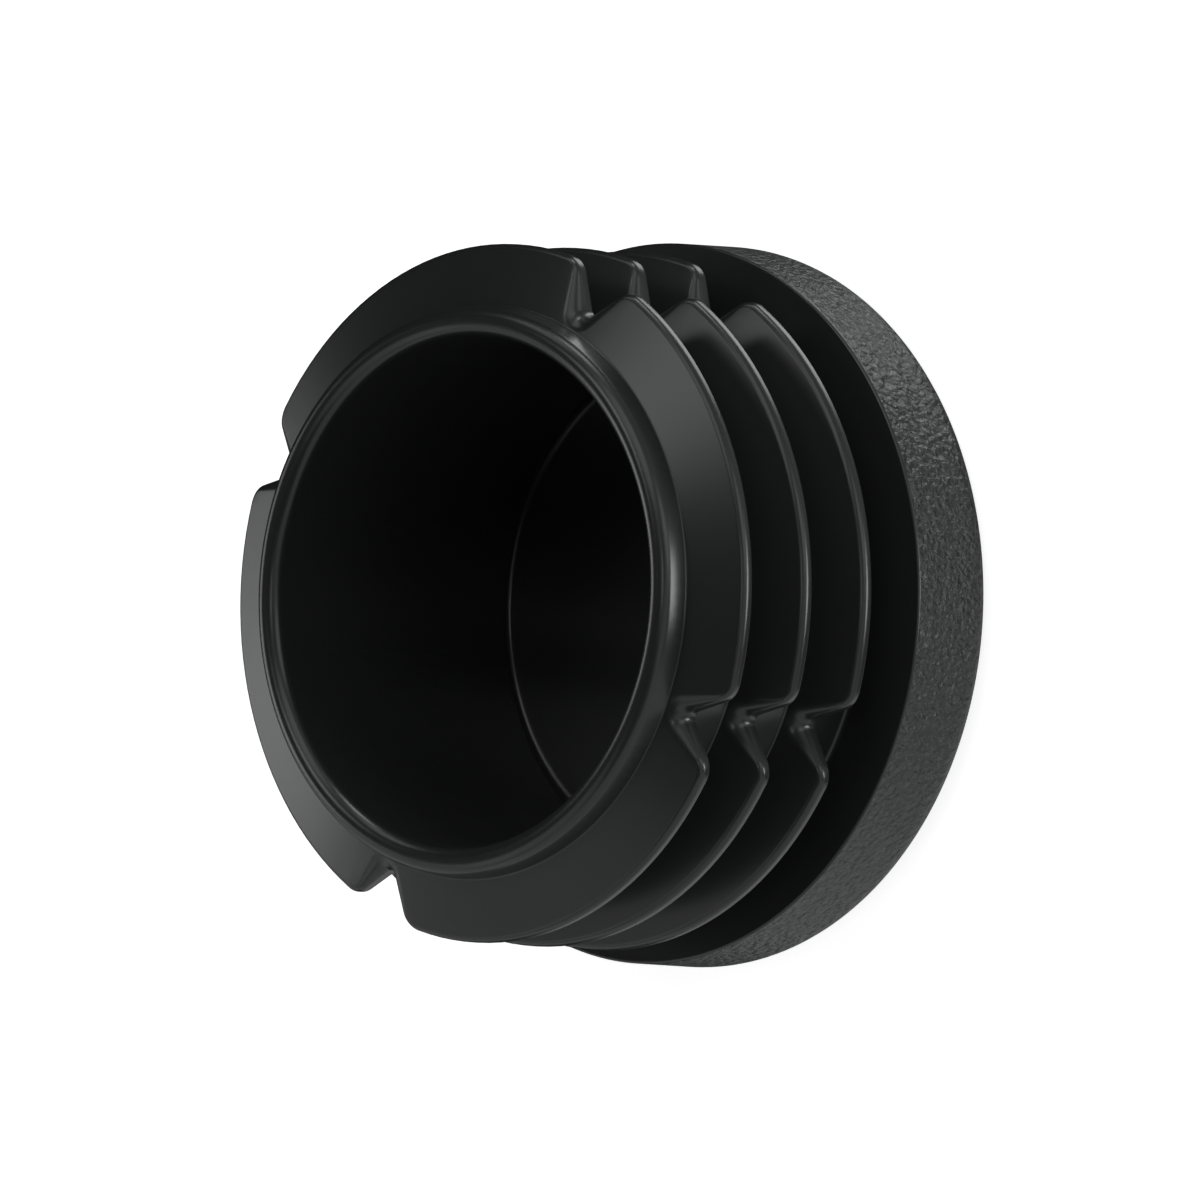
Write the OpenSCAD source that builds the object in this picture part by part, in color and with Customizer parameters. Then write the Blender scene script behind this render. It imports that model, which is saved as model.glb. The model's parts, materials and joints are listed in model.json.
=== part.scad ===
// Ribbed end cap for a round tube, moulded in one piece.
// The cap stands on its head: z = 0 is the flat outer face, and +Z runs along
// the plug that is pushed into the tube. One notch of each lamella lies on +X.

/* [Tube] */
// Outside diameter of the tube, which the head matches
tube_d = 50; // [40:0.5:80]
// Wall of the tube
tube_wall = 1.5; // [1:0.1:3]

/* [Head] */
// Thickness of the head
head_h = 8; // [6:0.1:14]
// Radius of the edge round the outer face
face_edge_r = 2.5; // [0.5:0.1:4]
// Radius of the edge between the side wall and the shoulder
shoulder_edge_r = 0.2; // [0.1:0.05:0.6]

/* [Plug] */
// Length of the plug, from the shoulder to the crown of its mouth
plug_l = 20; // [15:0.5:40]
// Gap between the plug's core and the wall of the tube
core_gap = 3.6; // [2.5:0.1:5]
// Wall of the core at its mouth
core_wall = 2.1; // [1.6:0.1:3]
// Draft of the bore, which narrows towards its floor, in degrees
bore_draft = 0.5; // [0:0.1:1.5]
// Solid thickness of the head under the bore
floor_h = 4.5; // [2:0.1:6]
// Radius between the bore and its floor
floor_r = 0.5; // [0.2:0.1:1.5]
// Radius between the core and the shoulder
core_foot_r = 0.4; // [0.2:0.1:1]

/* [Lamellae] */
// Number of lamellae along the plug
lamella_count = 3; // [2:1:4]
// How far a lamella stands proud of the tube's bore, to be squeezed there
squeeze = 0.75; // [0.2:0.05:1.2]
// Height of the first lamella's underside above the shoulder
foot_gap = 3.9; // [2:0.1:5]
// Distance from the last lamella's underside to the crown of the mouth
tip_gap = 4.1; // [3.6:0.1:6]
// Thickness of a lamella where it leaves the core
root_h = 2.1; // [1.2:0.1:2.5]
// Thickness of a lamella at its rim
rim_h = 0.85; // [0.6:0.05:1.1]
// Height of the straight part of the rim and of the notches' flanks
rim_land = 0.55; // [0.3:0.05:0.6]
// Depth of the round edge above it, for each millimetre of its height
edge_depth = 1; // [0.7:0.05:1.2]
// Chamfer under the rim
rim_chamfer = 0.12; // [0.05:0.01:0.2]
// Size of the fillets where a lamella meets the core
root_r = 0.25; // [0.15:0.05:0.4]

/* [Notches] */
// Number of notches round each lamella
notch_count = 4; // [3:1:6]
// Height of lamella that is left at the bottom of a notch
notch_land = 1.15; // [0.9:0.05:1.6]
// Angle between the two flanks of a notch
notch_angle = 76; // [60:1:90]
// Radius at the bottom of a notch
notch_bottom_r = 0.6; // [0.3:0.05:0.8]
// Radius of the corners between the flanks and the rim
notch_corner_r = 1.7; // [1:0.1:2.1]

/* [Hidden] */

black = [0.11, 0.115, 0.112];
$fn = 96;

// How far a shape reaches into or past the one that it joins or cuts
over = 1;

// Radii across the cap
head_r = tube_d / 2;
lamella_r = head_r - tube_wall + squeeze;
core_r = head_r - tube_wall - core_gap;
mouth_r = core_r - core_wall;
bead_r = core_wall / 2;

// Heights above the outer face
crown_z = head_h + plug_l;
bead_z = crown_z - bead_r;
lamella_pitch = (plug_l - foot_gap - tip_gap) / (lamella_count - 1);

// The bore's floor, and the centre of the radius round it
bore_foot_r = mouth_r - (bead_z - floor_h) * tan(bore_draft);
floor_c = [bore_foot_r - floor_r * (1 - sin(bore_draft)) / cos(bore_draft), floor_h + floor_r];

// The area between a corner and the arc that rounds it. The arc has its centre
// at c, and runs from a on one edge to b on the other.
module corner_area(corner, c, a, b) {
    difference() {
        polygon([a, corner, b, c]);
        translate(c) circle(norm(a - c));
    }
}

// The same for a square corner, with the centre r away from it along both axes
module square_corner(corner, r, toward) {
    c = corner + r * toward;
    corner_area(corner, c, [corner.x, c.y], [c.x, corner.y]);
}

module head_profile() {
    difference() {
        square([head_r, head_h]);
        square_corner([head_r, 0], face_edge_r, [-1, 1]);
        square_corner([head_r, head_h], shoulder_edge_r, [-1, -1]);
    }
}

// The core: a tube with a full round at its mouth and a fillet at its foot
module core_profile() {
    translate([0, head_h - over]) square([core_r, plug_l + over - bead_r]);
    translate([core_r - bead_r, bead_z]) circle(bead_r);
    square_corner([core_r, head_h], core_foot_r, [1, 1]);
}

module bore_profile() {
    difference() {
        polygon([
            [0, floor_h], [bore_foot_r, floor_h], [mouth_r, bead_z],
            [mouth_r, crown_z + over], [0, crown_z + over]
        ]);
        corner_area([bore_foot_r, floor_h], floor_c, [floor_c.x, floor_h],
            floor_c + floor_r * [cos(bore_draft), -sin(bore_draft)]);
    }
}

module head_and_core() {
    rotate_extrude()
        difference() {
            union() {
                head_profile();
                core_profile();
            }
            bore_profile();
        }
}

// Outline of a lamella round the notch on +X, seen along the axis. A notch is a
// vee with a round bottom, and its corners are round where it meets the rim.
flank = notch_angle / 2;
flank_turn = flank - 90;
bottom_c = [core_r + notch_land + notch_bottom_r, 0];
vee = bottom_c - [notch_bottom_r / sin(flank), 0];

// The corner's arc touches the flank and the rim's circle
corner_base = vee - notch_corner_r * unit(flank_turn);
corner_b = corner_base * unit(flank);
corner_reach = lamella_r - notch_corner_r;
corner_s = sqrt(corner_b ^ 2 - corner_base * corner_base + corner_reach ^ 2) - corner_b;
corner_c = corner_base + corner_s * unit(flank);
corner_turn = atan2(corner_c.y, corner_c.x);

// Steps along the outline, from the middle of the notch to the middle of the rim
sector = 360 / notch_count;
bottom_steps = 3;
corner_steps = 5;
rim_step = 7;
rim_steps = ceil((sector / 2 - corner_turn) / rim_step);

function unit(a) = [cos(a), sin(a)];

// Places on the outline, each with the direction that it faces
bottom_places = [
    for (i = [0:bottom_steps])
        let (turn = flank_turn * i / bottom_steps)
        [bottom_c - notch_bottom_r * unit(turn), turn]
];
corner_places = [
    for (i = [0:corner_steps])
        let (turn = flank_turn + (corner_turn - flank_turn) * i / corner_steps)
        [corner_c + notch_corner_r * unit(turn), turn]
];
half_outline = concat(
    bottom_places,
    [(bottom_places[bottom_steps] + corner_places[0]) / 2],
    corner_places,
    [for (i = [1:rim_steps])
        let (turn = corner_turn + (sector / 2 - corner_turn) * i / rim_steps)
        [lamella_r * unit(turn), turn]]
);
half_last = len(half_outline) - 1;

function mirrored(s) = [[s[0].x, -s[0].y], -s[1]];
function turned(s, a) = [
    [s[0].x * cos(a) - s[0].y * sin(a), s[0].x * sin(a) + s[0].y * cos(a)],
    s[1] + a
];

outline = [
    for (k = [0:notch_count - 1])
        for (i = [-half_last:half_last - 1])
            turned(i < 0 ? mirrored(half_outline[-i]) : half_outline[i], k * sector)
];

// Height of the lamella's cone over a place
function cone_h(place) =
    root_h - (root_h - rim_h) * (norm(place) - core_r) / (lamella_r - core_r);

// The round edge between the land and the cone is a quarter of an ellipse, which
// is set on the cone's slope. It is as high as the cone stands above the land, so
// it grows from the rim to the bottom of a notch, where it stops short of the core.
edge_steps = 5;
root_gap = 1.5 * root_r;
function round_edge(place, out) =
    let (
        lift = cone_h(place) - rim_land,
        depth = edge_depth * lift,
        rise = cone_h(place - depth * out) - cone_h(place),
        reach = place * out,
        room = reach - sqrt(max(0, reach ^ 2 - place * place + core_r ^ 2)) - root_gap,
        end = acos(1 - min(1, room / depth))
    )
    [for (i = [0:edge_steps])
        let (a = end * (1 - i / edge_steps), back = 1 - cos(a))
        concat(place - back * depth * out, rim_land + lift * sin(a) + back * rise)];

// A fillet's three points: on one face, between, and just inside the core
function fillet(from, corner, to) = [from, from / 4 + corner / 2 + to / 4, to];
function reversed(v) = [for (i = [len(v) - 1:-1:0]) v[i]];

// Section of the lamella at a place on its outline: out of the core's wall, down
// the cone, over the round edge, down the land, and back along the flat underside
// into the wall. The fillets end just under the core's skin, and the rest is sunk.
skin_depth = 0.06;
skin_r = core_r - skin_depth;
sunk_r = core_r - core_wall / 2;
function section(s) =
    let (
        out = unit(s[1]),
        edge = round_edge(s[0], out),
        away = [edge[0].x, edge[0].y] / norm([edge[0].x, edge[0].y]),
        top = concat(core_r * away, root_h),
        under = concat(core_r * away, 0)
    )
    concat(
        [concat(sunk_r * away, root_h + root_r)],
        reversed(fillet(top + root_r * (edge[0] - top) / norm(edge[0] - top), top,
            concat(skin_r * away, root_h + root_r))),
        edge,
        [concat(s[0], rim_chamfer), concat(s[0] - rim_chamfer * out, 0)],
        fillet(under + concat(root_r * away, 0), under, concat(skin_r * away, -root_r)),
        [concat(sunk_r * away, -root_r)]
    );

module lamella() {
    rings = [for (s = outline) section(s)];
    n = len(rings);
    m = len(rings[0]);
    // Both halves of a petal are cut along mirrored diagonals
    polyhedron(
        points = [for (ring = rings) each ring],
        faces = [
            for (i = [0:n - 1])
                for (j = [0:m - 1])
                    let (
                        a = i * m + j,
                        b = (i + 1) % n * m + j,
                        c = (i + 1) % n * m + (j + 1) % m,
                        d = i * m + (j + 1) % m
                    )
                    each i % (2 * half_last) < half_last ? [[a, b, c], [a, c, d]] : [[a, b, d], [b, c, d]]
        ],
        convexity = 6
    );
}

module end_cap() {
    color(black)
        union() {
            head_and_core();
            for (i = [0:lamella_count - 1])
                translate([0, 0, head_h + foot_gap + i * lamella_pitch]) lamella();
        }
}

end_cap();
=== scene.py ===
"""Models the end cap of a round tube in black moulded plastic, and lights it for a picture."""

import json
import math

import bmesh
import bpy
from bpy.props import FloatProperty, FloatVectorProperty, IntProperty, PointerProperty
from mathutils import Matrix, Vector

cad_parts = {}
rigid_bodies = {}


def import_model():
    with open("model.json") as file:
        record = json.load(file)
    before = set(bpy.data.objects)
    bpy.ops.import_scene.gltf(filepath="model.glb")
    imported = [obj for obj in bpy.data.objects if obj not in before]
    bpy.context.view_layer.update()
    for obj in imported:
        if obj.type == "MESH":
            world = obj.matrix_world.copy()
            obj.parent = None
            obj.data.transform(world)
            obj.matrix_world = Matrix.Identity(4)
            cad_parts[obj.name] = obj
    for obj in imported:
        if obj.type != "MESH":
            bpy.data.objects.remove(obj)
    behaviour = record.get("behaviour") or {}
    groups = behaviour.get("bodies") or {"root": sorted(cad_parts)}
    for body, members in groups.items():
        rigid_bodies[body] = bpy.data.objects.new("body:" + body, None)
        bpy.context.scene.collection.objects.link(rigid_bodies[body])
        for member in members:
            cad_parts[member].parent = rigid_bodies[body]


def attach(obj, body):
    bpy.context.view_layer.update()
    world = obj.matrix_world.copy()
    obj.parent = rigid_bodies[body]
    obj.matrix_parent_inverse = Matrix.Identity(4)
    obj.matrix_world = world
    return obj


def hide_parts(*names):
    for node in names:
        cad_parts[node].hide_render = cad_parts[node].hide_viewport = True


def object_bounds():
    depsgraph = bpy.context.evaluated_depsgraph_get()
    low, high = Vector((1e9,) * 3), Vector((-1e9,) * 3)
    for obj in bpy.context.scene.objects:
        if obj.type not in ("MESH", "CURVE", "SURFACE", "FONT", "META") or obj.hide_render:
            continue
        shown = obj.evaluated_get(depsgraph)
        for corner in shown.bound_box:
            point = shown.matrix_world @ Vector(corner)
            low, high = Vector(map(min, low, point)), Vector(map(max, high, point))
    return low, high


bl_info = {
    "name": "Tube End Cap",
    "version": (1, 0, 0),
    "blender": (4, 5, 0),
    "location": "View3D > Sidebar > End Cap",
    "description": "Models a ribbed end cap for a round tube, and a plain stage for its picture",
    "category": "Add Mesh",
}

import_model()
CAD_LOW, CAD_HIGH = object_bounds()
NODE = "end_cap"
CAP = "moulded_cap"

# Two points of the mesh that are nearer than this are one
SAME = 5e-7

# Height of the strip of core that is bridged above and below a lamella
SEAT_GAP = 0.00005

# Room between a lamella's round edge and the core, in sizes of the root's fillet
EDGE_ROOM = 1.5

# Specks of the grained wall: how many to a metre, how much paler the palest are than the
# smooth faces, and how far the gloss strays from its middle value to each side
SPECK_SCALE = 2600
SPECK_PALENESS = 1.4
SPECK_ROUGHNESS = 0.12

# Share of the face's round edge that is grained, and the widths over which the grain fades
# out there and under the shoulder
GRAINED_EDGE = 0.8
FACE_FADE = 0.0005
SHOULDER_FADE = 0.0001

# Distance of the camera and the lamps, and side of the floor
STAGE_DISTANCE = 0.3
FLOOR_SIDE = 4


class CapSizes(bpy.types.PropertyGroup):
    """Sizes of the cap, in metres and radians."""

    tube_d: FloatProperty(
        name="Tube Diameter",
        description="Outside diameter of the tube, which the head matches",
        default=CAD_HIGH.x - CAD_LOW.x,
        unit="LENGTH",
        precision=4,
    )
    tube_wall: FloatProperty(
        name="Tube Wall", description="Wall of the tube", default=0.0015, unit="LENGTH", precision=4
    )
    head_h: FloatProperty(
        name="Head", description="Thickness of the head", default=0.008, unit="LENGTH", precision=4
    )
    face_edge_r: FloatProperty(
        name="Face Edge",
        description="Radius of the edge round the outer face",
        default=0.0025,
        unit="LENGTH",
        precision=4,
    )
    shoulder_edge_r: FloatProperty(
        name="Shoulder Edge",
        description="Radius of the edge between the side wall and the shoulder",
        default=0.0002,
        unit="LENGTH",
        precision=4,
    )
    plug_l: FloatProperty(
        name="Plug",
        description="Length of the plug, from the shoulder to the crown of its mouth",
        default=0.02,
        unit="LENGTH",
        precision=4,
    )
    core_gap: FloatProperty(
        name="Core Gap",
        description="Gap between the plug's core and the wall of the tube",
        default=0.0036,
        unit="LENGTH",
        precision=4,
    )
    core_wall: FloatProperty(
        name="Core Wall",
        description="Wall of the core at its mouth",
        default=0.0021,
        unit="LENGTH",
        precision=4,
    )
    mouth_taper: FloatProperty(
        name="Mouth Taper",
        description="How much the core narrows from the last lamella to its mouth, to lead it in",
        default=math.radians(11),
        subtype="ANGLE",
    )
    bore_draft: FloatProperty(
        name="Bore Draft",
        description="How much the bore narrows towards its floor",
        default=math.radians(0.5),
        subtype="ANGLE",
    )
    floor_h: FloatProperty(
        name="Bore Floor",
        description="Solid thickness of the head under the bore",
        default=0.0045,
        unit="LENGTH",
        precision=4,
    )
    floor_r: FloatProperty(
        name="Floor Radius",
        description="Radius between the bore and its floor",
        default=0.0005,
        unit="LENGTH",
        precision=4,
    )
    core_foot_r: FloatProperty(
        name="Core Foot",
        description="Radius between the core and the shoulder",
        default=0.0004,
        unit="LENGTH",
        precision=4,
    )
    lamella_count: IntProperty(
        name="Lamellae", description="Number of lamellae along the plug", default=3, min=2
    )
    squeeze: FloatProperty(
        name="Squeeze",
        description="How far a lamella stands proud of the tube's bore",
        default=0.00075,
        unit="LENGTH",
        precision=5,
    )
    foot_gap: FloatProperty(
        name="Foot Gap",
        description="Height of the first lamella's underside above the shoulder",
        default=0.0039,
        unit="LENGTH",
        precision=4,
    )
    tip_gap: FloatProperty(
        name="Tip Gap",
        description="Distance from the last lamella's underside to the crown of the mouth",
        default=0.0041,
        unit="LENGTH",
        precision=4,
    )
    root_h: FloatProperty(
        name="Root",
        description="Thickness of a lamella where it leaves the core",
        default=0.0021,
        unit="LENGTH",
        precision=4,
    )
    rim_h: FloatProperty(
        name="Rim",
        description="Thickness of a lamella at its rim",
        default=0.0008,
        unit="LENGTH",
        precision=5,
    )
    flank_land: FloatProperty(
        name="Flank Land",
        description="Height of the straight part of the notches' flanks",
        default=0.00055,
        unit="LENGTH",
        precision=5,
    )
    flank_edge: FloatProperty(
        name="Flank Edge",
        description="Depth of the round edge along the notches, as a share of its height",
        default=1,
        min=0.5,
        max=1.5,
    )
    rim_land: FloatProperty(
        name="Rim Land",
        description="Height of the straight part of the rim",
        default=0.00038,
        unit="LENGTH",
        precision=5,
    )
    rim_edge: FloatProperty(
        name="Rim Edge",
        description="Depth of the rim's crowned edge above its straight part",
        default=0.0004,
        unit="LENGTH",
        precision=5,
    )
    rim_foot_r: FloatProperty(
        name="Rim Foot",
        description="Size of the small round edge under the rim",
        default=0.00014,
        unit="LENGTH",
        precision=5,
    )
    root_r: FloatProperty(
        name="Root Fillet",
        description="Size of the fillets where a lamella meets the core",
        default=0.00012,
        unit="LENGTH",
        precision=5,
    )
    notch_count: IntProperty(
        name="Notches", description="Number of notches round each lamella", default=4, min=3
    )
    notch_land: FloatProperty(
        name="Notch Land",
        description="Width of lamella that is left between the core and the bottom of a notch",
        default=0.00115,
        unit="LENGTH",
        precision=5,
    )
    notch_angle: FloatProperty(
        name="Notch Angle",
        description="Angle between the two flanks of a notch",
        default=math.radians(76),
        subtype="ANGLE",
    )
    notch_bottom_r: FloatProperty(
        name="Notch Bottom",
        description="Radius at the bottom of a notch",
        default=0.0006,
        unit="LENGTH",
        precision=5,
    )
    notch_corner_r: FloatProperty(
        name="Notch Corner",
        description="Radius of the corners between the flanks and the rim",
        default=0.0017,
        unit="LENGTH",
        precision=5,
    )
    columns: IntProperty(
        name="Columns",
        description="Number of mesh columns round the head and the core",
        default=288,
        min=48,
    )


class CapFinish(bpy.types.PropertyGroup):
    """Finish of the moulded plastic."""

    plastic: FloatVectorProperty(
        name="Plastic",
        description="Colour of the plastic",
        subtype="COLOR",
        size=3,
        min=0,
        max=1,
        default=(0.0185, 0.0196, 0.0191),
    )
    roughness: FloatProperty(
        name="Roughness",
        description="Roughness of the smooth moulded faces",
        default=0.27,
        min=0,
        max=1,
    )
    wall_roughness: FloatProperty(
        name="Wall Roughness",
        description="Roughness of the grained side wall of the head",
        default=0.38,
        min=0,
        max=1,
    )
    grain_depth: FloatProperty(
        name="Grain Depth",
        description="Depth of the grain on the head's side wall",
        default=0.00012,
        unit="LENGTH",
        precision=6,
    )
    grain_size: FloatProperty(
        name="Grain Size",
        description="Width of the cells of the grain",
        default=0.00046,
        unit="LENGTH",
        precision=5,
    )


class StageSettings(bpy.types.PropertyGroup):
    """Floor and light."""

    floor: FloatVectorProperty(
        name="Floor",
        description="Colour of the floor",
        subtype="COLOR",
        size=3,
        min=0,
        max=1,
        default=(0.9, 0.9, 0.9),
    )
    floor_glow: FloatProperty(
        name="Floor Glow",
        description="Light that the floor gives off, as a light table does",
        default=0.8,
        min=0,
    )
    lamps: FloatProperty(
        name="Lamps", description="Strength of all lamps together", default=1, min=0
    )
    lamp_tint: FloatVectorProperty(
        name="Lamp Colour",
        description="Colour of the lamps",
        subtype="COLOR",
        size=3,
        min=0,
        max=1,
        default=(0.982, 1, 0.991),
    )


# Radii and heights that follow from the sizes
def head_radius(s):
    return s.tube_d / 2


def lamella_radius(s):
    return head_radius(s) - s.tube_wall + s.squeeze


def core_radius(s):
    return head_radius(s) - s.tube_wall - s.core_gap


def crown_height(s):
    return s.head_h + s.plug_l


def lamella_heights(s):
    pitch = (s.plug_l - s.foot_gap - s.tip_gap) / (s.lamella_count - 1)
    return [s.head_h + s.foot_gap + i * pitch for i in range(s.lamella_count)]


def lamella_seats(s):
    """Heights between which the core is left open for each lamella and its fillets."""
    spare = s.root_r + SEAT_GAP
    return [(z - spare, z + s.root_h + spare) for z in lamella_heights(s)]


def unit(angle):
    return Vector((math.cos(angle), math.sin(angle)))


# Edit mode
def start(name, vertices):
    """Adds a mesh of that many vertices in a ring, named and open in edit mode."""
    if bpy.context.object and bpy.context.object.mode != "OBJECT":
        bpy.ops.object.mode_set(mode="OBJECT")
    bpy.ops.object.select_all(action="DESELECT")
    bpy.ops.mesh.primitive_circle_add(vertices=vertices)
    bpy.context.object.name = bpy.context.object.data.name = name
    bpy.ops.object.mode_set(mode="EDIT")
    bpy.ops.mesh.select_mode(type="VERT")
    return bpy.context.object


def select_by_place(obj, is_there):
    """Selects the vertices whose place passes the test, and counts them."""
    bpy.ops.mesh.select_all(action="DESELECT")
    mesh = bmesh.from_edit_mesh(obj.data)
    for v in mesh.verts:
        v.select = is_there(v.co)
    mesh.select_flush_mode()
    bmesh.update_edit_mesh(obj.data)
    return sum(v.select for v in mesh.verts)


def place_selected(obj, points):
    """Moves the selected vertices to these points, in their order."""
    mesh = bmesh.from_edit_mesh(obj.data)
    found = [v for v in mesh.verts if v.select]
    if len(found) != len(points):
        raise RuntimeError(f"{obj.name}: {len(found)} vertices are selected for {len(points)} points")
    for v, point in zip(found, points):
        v.co = point
    bmesh.update_edit_mesh(obj.data)


def merge_doubles():
    bpy.ops.mesh.select_all(action="SELECT")
    bpy.ops.mesh.remove_doubles(threshold=SAME)


def section_corners(s):
    """The half section without its lamellae: corners, and the radius and steps of each round one."""
    core = core_radius(s)
    crown = crown_height(s)
    mouth = core - s.core_wall
    # The bead round the mouth is a full round between the tapered wall and the bore
    outer = core - (crown - lamella_seats(s)[-1][1]) * math.tan(s.mouth_taper)
    lead = math.tan(math.pi / 4 - s.mouth_taper / 2)
    bead = (outer - mouth) / (1 + lead)
    foot = mouth - (crown - s.floor_h) * math.tan(s.bore_draft)
    corners = [
        ((0, 0), 0, 0),
        ((head_radius(s), 0), s.face_edge_r, 14),
        ((head_radius(s), s.head_h), s.shoulder_edge_r, 4),
        ((core, s.head_h), s.core_foot_r, 5),
    ]
    for low, high in lamella_seats(s):
        corners.append(((core, low), 0, 0))
        corners.append(((core, high), 0, 0))
    return corners + [
        ((outer, crown), bead * lead, 12),
        ((mouth, crown), bead, 10),
        ((foot, s.floor_h), s.floor_r, 6),
        ((0, s.floor_h), 0, 0),
    ]


class ENDCAP_OT_turn_body(bpy.types.Operator):
    """Draw the half section of the head and the core, round its corners and spin it"""

    bl_idname = "endcap.turn_body"
    bl_label = "Turn Head and Core"
    bl_options = {"REGISTER", "UNDO"}

    def execute(self, context):
        s = context.scene.cap_sizes
        corners = section_corners(s)
        obj = start("turned_body", 3)
        bpy.ops.mesh.select_all(action="SELECT")
        bpy.ops.mesh.merge(type="CENTER")
        place_selected(obj, [Vector((0, 0, 0))])
        for (a, _, _), (b, _, _) in zip(corners, corners[1:]):
            step = (b[0] - a[0], 0, b[1] - a[1])
            bpy.ops.mesh.extrude_vertices_move(TRANSFORM_OT_translate={"value": step})
        for (x, z), radius, steps in corners:
            if not radius:
                continue
            corner = Vector((x, 0, z))
            if select_by_place(obj, lambda co: (co - corner).length < SAME) != 1:
                raise RuntimeError(f"no single corner of the section lies at {tuple(corner)}")
            bpy.ops.mesh.bevel(
                offset=radius, segments=steps, profile=0.5, affect="VERTICES", clamp_overlap=False
            )
        # The lamellae take the place of these edges
        near = core_radius(s) - SAME
        for low, high in lamella_seats(s):
            if select_by_place(obj, lambda co: low - SAME < co.z < high + SAME and co.x > near) != 2:
                raise RuntimeError("the section has no single edge where a lamella goes")
            bpy.ops.mesh.delete(type="EDGE")
        bpy.ops.mesh.select_all(action="SELECT")
        bpy.ops.mesh.spin(steps=s.columns, angle=math.tau, center=(0, 0, 0), axis=(0, 0, 1))
        merge_doubles()
        bpy.ops.object.mode_set(mode="OBJECT")
        return {"FINISHED"}


def half_outline(s):
    """Outline of a lamella from the middle of the notch on +X to the middle of the rim.

    A notch is a vee with a round bottom and round corners. Each place comes with the
    direction that it faces and the share of the rim in its shape: 0 on a flank, 1 on the rim.
    """
    flank = s.notch_angle / 2
    flank_turn = flank - math.pi / 2
    bottom = Vector((core_radius(s) + s.notch_land + s.notch_bottom_r, 0))
    vee = bottom - Vector((s.notch_bottom_r / math.sin(flank), 0))
    base = vee - s.notch_corner_r * unit(flank_turn)
    along = unit(flank)
    b = base.dot(along)
    reach = lamella_radius(s) - s.notch_corner_r
    corner = base + (math.sqrt(b * b - base.length_squared + reach * reach) - b) * along
    corner_turn = math.atan2(corner.y, corner.x)

    bottom_steps, flank_steps, corner_steps, rim_steps = 8, 8, 14, 14
    stations = []
    for i in range(bottom_steps):
        turn = flank_turn * i / bottom_steps
        stations.append((bottom - s.notch_bottom_r * unit(turn), turn, 0))
    flank_start = bottom - s.notch_bottom_r * unit(flank_turn)
    flank_end = corner + s.notch_corner_r * unit(flank_turn)
    for i in range(flank_steps):
        stations.append((flank_start.lerp(flank_end, i / flank_steps), flank_turn, 0))
    for i in range(corner_steps):
        share = i / corner_steps
        turn = flank_turn + (corner_turn - flank_turn) * share
        rim = share * share * (3 - 2 * share)
        stations.append((corner + s.notch_corner_r * unit(turn), turn, rim))
    half_sector = math.pi / s.notch_count
    for i in range(rim_steps + 1):
        turn = corner_turn + (half_sector - corner_turn) * i / rim_steps
        stations.append((lamella_radius(s) * unit(turn), turn, 1))
    return stations


def full_outline(s):
    """The whole outline of a lamella, in the same form."""
    half = half_outline(s)
    mirrored = []
    for place, turn, rim in reversed(half[1:]):
        mirrored.append((Vector((place.x, -place.y)), -turn, rim))
    sector = math.tau / s.notch_count
    stations = []
    for k in range(s.notch_count):
        spin = Matrix.Rotation(k * sector, 2)
        for place, turn, rim in (mirrored + half)[:-1]:
            stations.append((spin @ place, turn + k * sector, rim))
    return stations


def arc_fillet(first, corner, last, steps):
    """Points of a curve from first to last that leaves and arrives towards the corner."""
    points = []
    for i in range(steps + 1):
        t = i / steps
        points.append((1 - t) ** 2 * first + 2 * t * (1 - t) * corner + t * t * last)
    return points


def cone_height(s, place):
    """Height of the lamella's cone above its underside."""
    fall = (s.root_h - s.rim_h) / (lamella_radius(s) - core_radius(s))
    return s.root_h - fall * (place.length - core_radius(s))


def round_edge(s, place, out, rim, steps):
    """Points up the round edge, from the top of the land to the cone.

    It is a quarter of an ellipse on the cone's slope, as high as the cone stands above the
    land. At the bottom of a notch it stops short of the core.
    """
    land = s.flank_land + (s.rim_land - s.flank_land) * rim
    lift = cone_height(s, place) - land
    depth = s.flank_edge * lift * (1 - rim) + s.rim_edge * rim
    rise = cone_height(s, place - depth * out) - cone_height(s, place)
    reach = place.dot(out)
    to_core = reach - math.sqrt(max(0, reach**2 - place.length_squared + core_radius(s) ** 2))
    end = math.acos(1 - min(1, (to_core - EDGE_ROOM * s.root_r) / depth))
    points = []
    for i in range(steps + 1):
        a = end * i / steps
        back = 1 - math.cos(a)
        flat = place - back * depth * out
        points.append(Vector((flat.x, flat.y, land + lift * math.sin(a) + back * rise)))
    return points


def lamella_section(s, station):
    """Points of the lamella at a station, from the core round the rim and back to the core."""
    place, turn, rim_share = station
    root_steps, foot_steps, edge_steps, cone_steps = 5, 4, 12, 4
    flat_out = unit(turn)
    edge = round_edge(s, place, flat_out, rim_share, edge_steps)
    out, up = flat_out.to_3d(), Vector((0, 0, 1))
    away = Vector((edge[-1].x, edge[-1].y, 0)).normalized()
    under = core_radius(s) * away
    top = under + s.root_h * up
    rim = place.to_3d()
    fillet_start = top + s.root_r * (edge[-1] - top).normalized()

    points = arc_fillet(under - s.root_r * up, under, under + s.root_r * away, root_steps)
    points += arc_fillet(rim - s.rim_foot_r * out, rim, rim + s.rim_foot_r * up, foot_steps)
    points += edge
    points += [edge[-1].lerp(fillet_start, i / cone_steps) for i in range(1, cone_steps)]
    return points + arc_fillet(fillet_start, top, top + s.root_r * up, root_steps)


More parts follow.
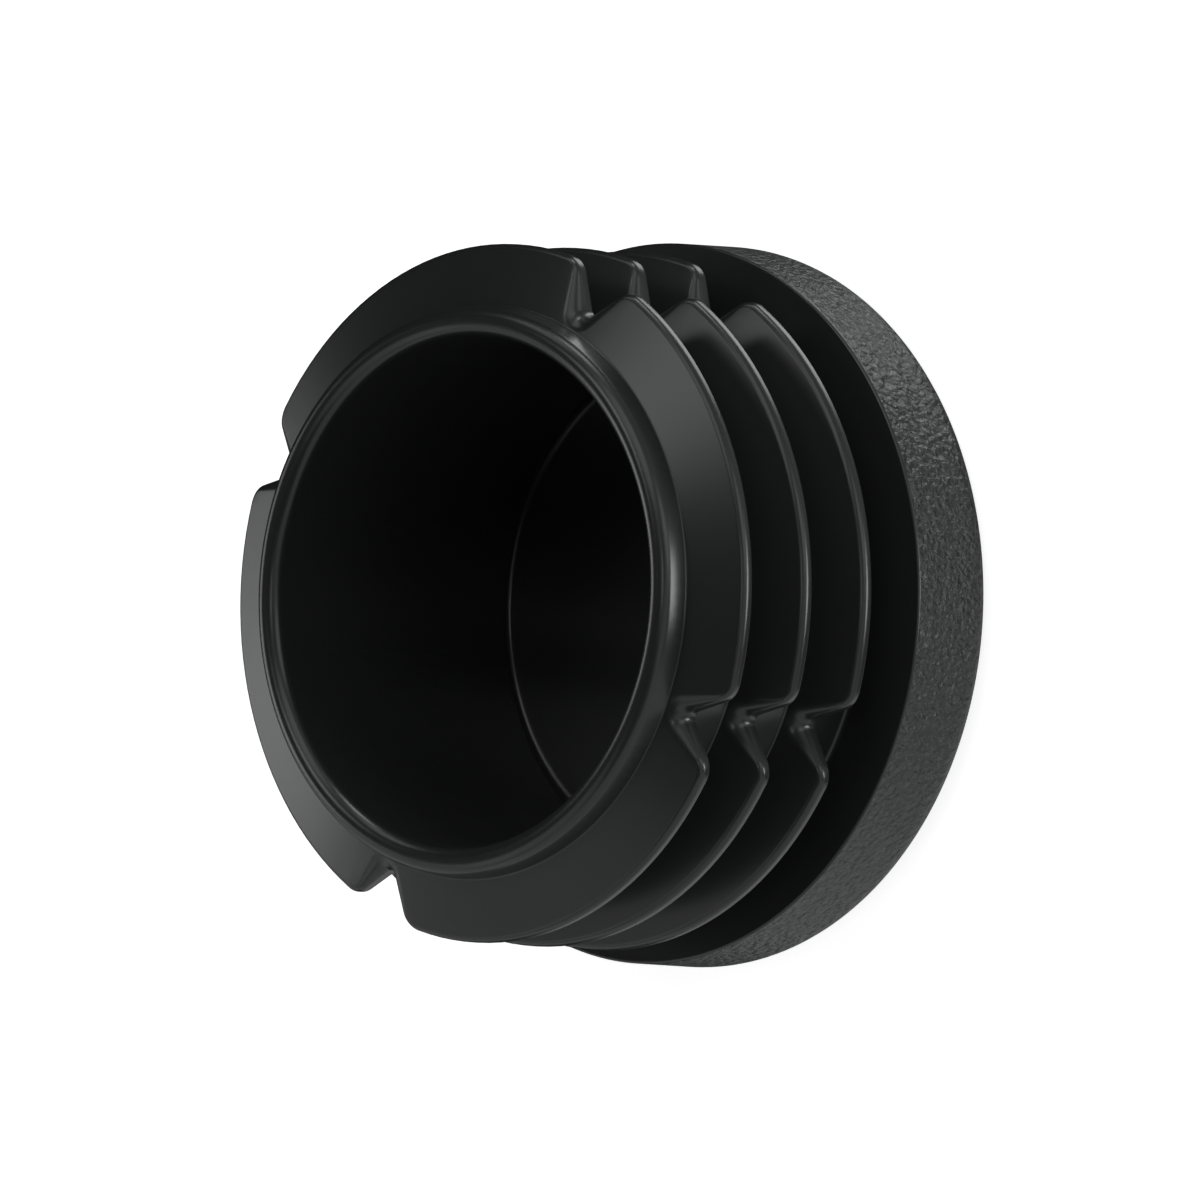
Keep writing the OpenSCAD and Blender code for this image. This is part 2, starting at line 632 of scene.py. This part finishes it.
class ENDCAP_OT_loft_lamellae(bpy.types.Operator):
    """Loft one notched lamella round the core, and copy it along the plug"""

    bl_idname = "endcap.loft_lamellae"
    bl_label = "Loft Lamellae"
    bl_options = {"REGISTER", "UNDO"}

    def execute(self, context):
        s = context.scene.cap_sizes
        heights = lamella_heights(s)
        sections = [lamella_section(s, station) for station in full_outline(s)]
        lift = Vector((0, 0, heights[0]))
        rings = [[point + lift for point in ring] for ring in zip(*sections)]
        obj = start("lamella_1", len(rings[0]))
        bpy.ops.mesh.select_all(action="SELECT")
        place_selected(obj, rings[0])
        for ring in rings[1:]:
            bpy.ops.mesh.extrude_edges_move()
            place_selected(obj, ring)
        merge_doubles()
        bpy.ops.object.mode_set(mode="OBJECT")
        for number, z in enumerate(heights[1:], start=2):
            bpy.ops.object.select_all(action="DESELECT")
            obj.select_set(True)
            context.view_layer.objects.active = obj
            bpy.ops.object.duplicate_move(TRANSFORM_OT_translate={"value": (0, 0, z - heights[0])})
            bpy.ops.object.transform_apply(location=True, rotation=False, scale=False)
            context.object.name = context.object.data.name = f"lamella_{number}"
        return {"FINISHED"}


class ENDCAP_OT_join_cap(bpy.types.Operator):
    """Join the lamellae to the core in one closed moulding and smooth it"""

    bl_idname = "endcap.join_cap"
    bl_label = "Join Cap"
    bl_options = {"REGISTER", "UNDO"}

    def execute(self, context):
        s = context.scene.cap_sizes
        names = ["turned_body"] + [f"lamella_{i + 1}" for i in range(s.lamella_count)]
        bpy.ops.object.select_all(action="DESELECT")
        for name in names:
            bpy.data.objects[name].select_set(True)
        context.view_layer.objects.active = bpy.data.objects[names[0]]
        bpy.ops.object.join()
        obj = context.object
        obj.name = obj.data.name = CAP
        bpy.ops.object.mode_set(mode="EDIT")
        # Each lamella's two open rings lie a short way from those of the core
        for low, high in lamella_seats(s):
            self.bridge(obj, core_radius(s), low, low + SEAT_GAP)
            self.bridge(obj, core_radius(s), high - SEAT_GAP, high)
        bpy.ops.mesh.select_all(action="SELECT")
        bpy.ops.mesh.normals_make_consistent(inside=False)
        mesh = bmesh.from_edit_mesh(obj.data)
        open_edges = sum(not e.is_manifold for e in mesh.edges)
        bpy.ops.object.mode_set(mode="OBJECT")
        if open_edges:
            raise RuntimeError(f"the cap is not closed: {open_edges} edges have no two faces")
        bpy.ops.object.shade_smooth()
        # Beside a fillet, large faces keep their own direction
        bpy.ops.object.modifier_add(type="WEIGHTED_NORMAL")
        obj.modifiers[-1].weight = 100
        bpy.ops.object.modifier_apply(modifier=obj.modifiers[-1].name)
        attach(obj, "root")
        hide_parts(NODE)
        return {"FINISHED"}

    def bridge(self, obj, radius, low, high):
        """Joins the two rings on the core's wall that lie at these heights."""

        def is_on_rings(co):
            return abs(co.xy.length - radius) < SAME and low - SAME < co.z < high + SAME

        if not select_by_place(obj, is_on_rings):
            raise RuntimeError(f"no rings to bridge between {low} and {high}")
        bpy.ops.mesh.bridge_edge_loops()


class ENDCAP_OT_mould_plastic(bpy.types.Operator):
    """Give the cap its black plastic, grained on the side wall of the head"""

    bl_idname = "endcap.mould_plastic"
    bl_label = "Mould Plastic"
    bl_options = {"REGISTER", "UNDO"}

    def execute(self, context):
        finish = context.scene.cap_finish
        material = bpy.data.materials.new("black_moulded_plastic")
        material.use_nodes = True
        self.nodes, self.links = material.node_tree.nodes, material.node_tree.links
        shader = self.nodes["Principled BSDF"]
        shader.inputs["IOR"].default_value = 1.5
        place = self.nodes.new("ShaderNodeTexCoord").outputs["Object"]
        wall = self.wall_mask(context.scene.cap_sizes, place)

        # The grained wall is paler and more matt than the smooth faces, in specks
        specks = self.noise(place, scale=SPECK_SCALE, detail=2, roughness=0.6)
        pale = self.calculate("MULTIPLY", wall, specks)
        pale_colour = [SPECK_PALENESS * c for c in finish.plastic]
        self.link(self.mix_colour(pale, finish.plastic, pale_colour), shader.inputs["Base Color"])
        middle = finish.wall_roughness
        rough = self.between(specks, middle - SPECK_ROUGHNESS, middle + SPECK_ROUGHNESS)
        self.link(self.blend(wall, finish.roughness, rough), shader.inputs["Roughness"])

        grain = self.bump(self.leather(place, finish.grain_size), finish.grain_depth, wall)
        self.link(grain, shader.inputs["Normal"])
        bpy.data.objects[CAP].data.materials.clear()
        bpy.data.objects[CAP].data.materials.append(material)
        return {"FINISHED"}

    def link(self, output, socket):
        self.links.new(output, socket)

    def noise(self, place, scale, detail, roughness, distortion=0):
        node = self.nodes.new("ShaderNodeTexNoise")
        self.link(place, node.inputs["Vector"])
        node.inputs["Scale"].default_value = scale
        node.inputs["Detail"].default_value = detail
        node.inputs["Roughness"].default_value = roughness
        node.inputs["Distortion"].default_value = distortion
        return node.outputs["Fac"]

    def calculate(self, operation, *values):
        """A Math node; each value is a number or another node's output."""
        node = self.nodes.new("ShaderNodeMath")
        node.operation = operation
        for socket, value in zip(node.inputs, values):
            if isinstance(value, (int, float)):
                socket.default_value = value
            else:
                self.link(value, socket)
        return node.outputs["Value"]

    def between(self, factor, low, high):
        """Maps 0 to 1 to these two numbers."""
        node = self.nodes.new("ShaderNodeMapRange")
        self.link(factor, node.inputs["Value"])
        node.inputs["To Min"].default_value = low
        node.inputs["To Max"].default_value = high
        return node.outputs["Result"]

    def blend(self, factor, first, second):
        """Goes from a number to another node's output."""
        node = self.nodes.new("ShaderNodeMix")
        node.data_type = "FLOAT"
        self.link(factor, node.inputs["Factor"])
        node.inputs["A"].default_value = first
        self.link(second, node.inputs["B"])
        return node.outputs["Result"]

    def mix_colour(self, factor, dark, light):
        """Goes from one colour to the other."""
        ramp = self.nodes.new("ShaderNodeValToRGB")
        self.link(factor, ramp.inputs["Fac"])
        ramp.color_ramp.elements[0].color = (*dark, 1)
        ramp.color_ramp.elements[1].color = (*light, 1)
        return ramp.outputs["Color"]

    def bump(self, height, depth, strength):
        node = self.nodes.new("ShaderNodeBump")
        self.link(height, node.inputs["Height"])
        self.link(strength, node.inputs["Strength"])
        node.inputs["Distance"].default_value = depth
        return node.outputs["Normal"]

    def leather(self, place, size):
        """Rounded cells with wrinkles between them, as an etched mould leaves them."""
        cells = self.nodes.new("ShaderNodeTexVoronoi")
        cells.feature = "SMOOTH_F1"
        self.link(place, cells.inputs["Vector"])
        cells.inputs["Scale"].default_value = 1 / size
        cells.inputs["Smoothness"].default_value = 0.6
        noise = self.noise(place, scale=0.8 / size, detail=3, roughness=0.6, distortion=0.6)
        wrinkles = self.calculate("MULTIPLY", noise, 2)
        return self.calculate("SUBTRACT", wrinkles, cells.outputs["Distance"])

    def wall_mask(self, s, place):
        """1 on the side wall of the head and its round edge, 0 on the shoulder and elsewhere."""
        parts = self.nodes.new("ShaderNodeSeparateXYZ")
        self.link(place, parts.inputs["Vector"])
        x2 = self.calculate("MULTIPLY", parts.outputs["X"], parts.outputs["X"])
        y2 = self.calculate("MULTIPLY", parts.outputs["Y"], parts.outputs["Y"])
        radius = self.calculate("SQRT", self.calculate("ADD", x2, y2))
        outside = self.step(radius, head_radius(s) - GRAINED_EDGE * s.face_edge_r, FACE_FADE)
        above = self.step(parts.outputs["Z"], s.head_h - s.shoulder_edge_r, SHOULDER_FADE)
        below = self.calculate("SUBTRACT", 1, above)
        return self.calculate("MULTIPLY", outside, below)

    def step(self, value, at, width):
        """0 below this value and 1 above it, with a soft change of that width."""
        node = self.nodes.new("ShaderNodeMapRange")
        node.interpolation_type = "SMOOTHSTEP"
        self.link(value, node.inputs["Value"])
        node.inputs["From Min"].default_value = at - width / 2
        node.inputs["From Max"].default_value = at + width / 2
        return node.outputs["Result"]


# Soft lamps, far away, told from the camera and in degrees: the angle round the picture,
# from the right over the top, the angle out of its plane towards the camera, and how wide
# the lamp looks. The last number is its strength. Those below shine through the floor.
# They are set so that the faces all round the cap are as bright as in the photograph.
LAMPS = (
    ("broad_from_below", 288, 7, 100, 1.05),
    ("broad_from_top_right", 49, 21, 100, 0.55),
    ("right_front", 3, 21, 22, 0.95),
    ("right_top_front", 35, 49, 30, 0.25),
    ("right_top_behind", 60, -31, 34, 0.85),
    ("right_low_behind", 321, -45, 64, 0.40),
    ("top_edge", 97, 0, 16, 0.30),
    ("top_front", 114, 42, 40, 0.47),
    ("left_top_edge", 119, 0, 24, 0.17),
    ("left_top_front", 152, 25, 20, 0.27),
    ("left_behind", 180, -24, 26, 0.29),
    ("left_low_behind", 215, -26, 64, 0.42),
    ("left_low_front", 215, 18, 40, 0.22),
    ("beside_camera_right", 331, 68, 40, 0.19),
    ("beside_camera_left", 148, 77, 13, 0.10),
)

# Camera: where the photograph shows the middle of the shoulder, in pixels of its square
# frame, and how large
PHOTO_SIDE = 1200
SHOULDER_AT = (657.7, 603.5)
PIXELS_PER_METRE = 14430

# Where the plug's axis points in the photograph, in degrees, as for the lamps
AXIS_ROUND = 176.41
AXIS_AHEAD = 46.26

# Where the notch on +X is, in degrees round the axis from the right side over the top
NOTCH_TURN = 66.17


def in_picture(round_picture, ahead):
    """Direction as the picture has it, to the right, down and away, from two angles in degrees."""
    across = unit(math.radians(round_picture)) * math.cos(math.radians(ahead))
    return Vector((across.x, -across.y, -math.sin(math.radians(ahead))))


def picture_to_cap():
    """Matrix that takes a direction in the picture to the cap's own axes."""
    axis = in_picture(AXIS_ROUND, AXIS_AHEAD)
    right_side = Vector((-axis.z, 0, axis.x)).normalized()
    turn = unit(math.radians(NOTCH_TURN))
    notch = turn.x * right_side + turn.y * axis.cross(right_side)
    return Matrix((notch, axis.cross(notch), axis))


class ENDCAP_OT_set_stage(bpy.types.Operator):
    """Lay the floor, hang the lights and set up the camera"""

    bl_idname = "endcap.set_stage"
    bl_label = "Set Stage"
    bl_options = {"REGISTER", "UNDO"}

    def execute(self, context):
        self.lay_floor(context)
        self.hang_lights(context)
        self.place_camera(context)
        context.scene.view_settings.view_transform = "Standard"
        return {"FINISHED"}

    def lay_floor(self, context):
        stage = context.scene.cap_stage
        bpy.ops.object.select_all(action="DESELECT")
        bpy.ops.mesh.primitive_plane_add(size=FLOOR_SIDE)
        floor = context.object
        floor.name = floor.data.name = "floor"
        material = bpy.data.materials.new("pale_floor")
        material.use_nodes = True
        shader = material.node_tree.nodes["Principled BSDF"]
        shader.inputs["Base Color"].default_value = (*stage.floor, 1)
        shader.inputs["Roughness"].default_value = 0.9
        shader.inputs["Specular IOR Level"].default_value = 0.1
        shader.inputs["Emission Color"].default_value = (1, 1, 1, 1)
        shader.inputs["Emission Strength"].default_value = stage.floor_glow
        floor.data.materials.append(material)
        # The lamps below shine through the floor, and it isn't mirrored in the cap
        floor.visible_shadow = floor.visible_diffuse = floor.visible_glossy = False

    def hang_lights(self, context):
        stage = context.scene.cap_stage
        world = bpy.data.worlds.new("white_surroundings")
        world.use_nodes = True
        world.node_tree.nodes["Background"].inputs["Color"].default_value = (1, 1, 1, 1)
        context.scene.world = world
        # The camera sees it, and it lights nothing
        world.cycles_visibility.diffuse = world.cycles_visibility.glossy = False
        for name, round_picture, ahead, width, strength in LAMPS:
            source = picture_to_cap() @ in_picture(round_picture, ahead)
            bpy.ops.object.light_add(type="SUN", location=STAGE_DISTANCE * source)
            lamp = context.object
            lamp.name = lamp.data.name = name
            lamp.data.angle = math.radians(width)
            lamp.data.energy = strength * stage.lamps
            lamp.data.color = stage.lamp_tint
            lamp.rotation_mode = "QUATERNION"
            lamp.rotation_quaternion = (-source).to_track_quat("-Z", "Y")

    def place_camera(self, context):
        data = bpy.data.cameras.new("camera")
        data.type = "ORTHO"
        data.ortho_scale = PHOTO_SIDE / PIXELS_PER_METRE
        data.clip_start, data.clip_end = 0.01, 10
        camera = bpy.data.objects.new("camera", data)
        context.scene.collection.objects.link(camera)
        # From the middle of the shoulder to the camera, as the picture has it
        middle = PHOTO_SIDE / 2
        place = Vector((middle - SHOULDER_AT[0], middle - SHOULDER_AT[1], 0)) / PIXELS_PER_METRE
        place.z = -STAGE_DISTANCE
        shoulder = Vector((0, 0, context.scene.cap_sizes.head_h))
        camera.location = shoulder + picture_to_cap() @ place
        # A camera looks down its own -Z, with +Y up
        camera.rotation_mode = "QUATERNION"
        flip = Matrix.Diagonal((1, -1, -1))
        camera.rotation_quaternion = (picture_to_cap() @ flip).to_quaternion()
        context.scene.camera = camera


class ENDCAP_PT_panel(bpy.types.Panel):
    """The steps of the cap, its sizes and its finish"""

    bl_idname = "ENDCAP_PT_panel"
    bl_label = "Tube End Cap"
    bl_space_type = "VIEW_3D"
    bl_region_type = "UI"
    bl_category = "End Cap"

    def draw(self, context):
        for step in STEPS:
            self.layout.operator(step.bl_idname)
        for group in (context.scene.cap_sizes, context.scene.cap_finish, context.scene.cap_stage):
            box = self.layout.box()
            for name in group.__annotations__:
                box.prop(group, name)


STEPS = (
    ENDCAP_OT_turn_body,
    ENDCAP_OT_loft_lamellae,
    ENDCAP_OT_join_cap,
    ENDCAP_OT_mould_plastic,
    ENDCAP_OT_set_stage,
)
CLASSES = (CapSizes, CapFinish, StageSettings, *STEPS, ENDCAP_PT_panel)


def register():
    for cls in CLASSES:
        bpy.utils.register_class(cls)
    bpy.types.Scene.cap_sizes = PointerProperty(type=CapSizes)
    bpy.types.Scene.cap_finish = PointerProperty(type=CapFinish)
    bpy.types.Scene.cap_stage = PointerProperty(type=StageSettings)


def unregister():
    del bpy.types.Scene.cap_stage
    del bpy.types.Scene.cap_finish
    del bpy.types.Scene.cap_sizes
    for cls in reversed(CLASSES):
        bpy.utils.unregister_class(cls)


def main():
    register()
    bpy.ops.endcap.turn_body()
    bpy.ops.endcap.loft_lamellae()
    bpy.ops.endcap.join_cap()
    bpy.ops.endcap.mould_plastic()
    bpy.ops.endcap.set_stage()


if __name__ == "__main__":
    main()
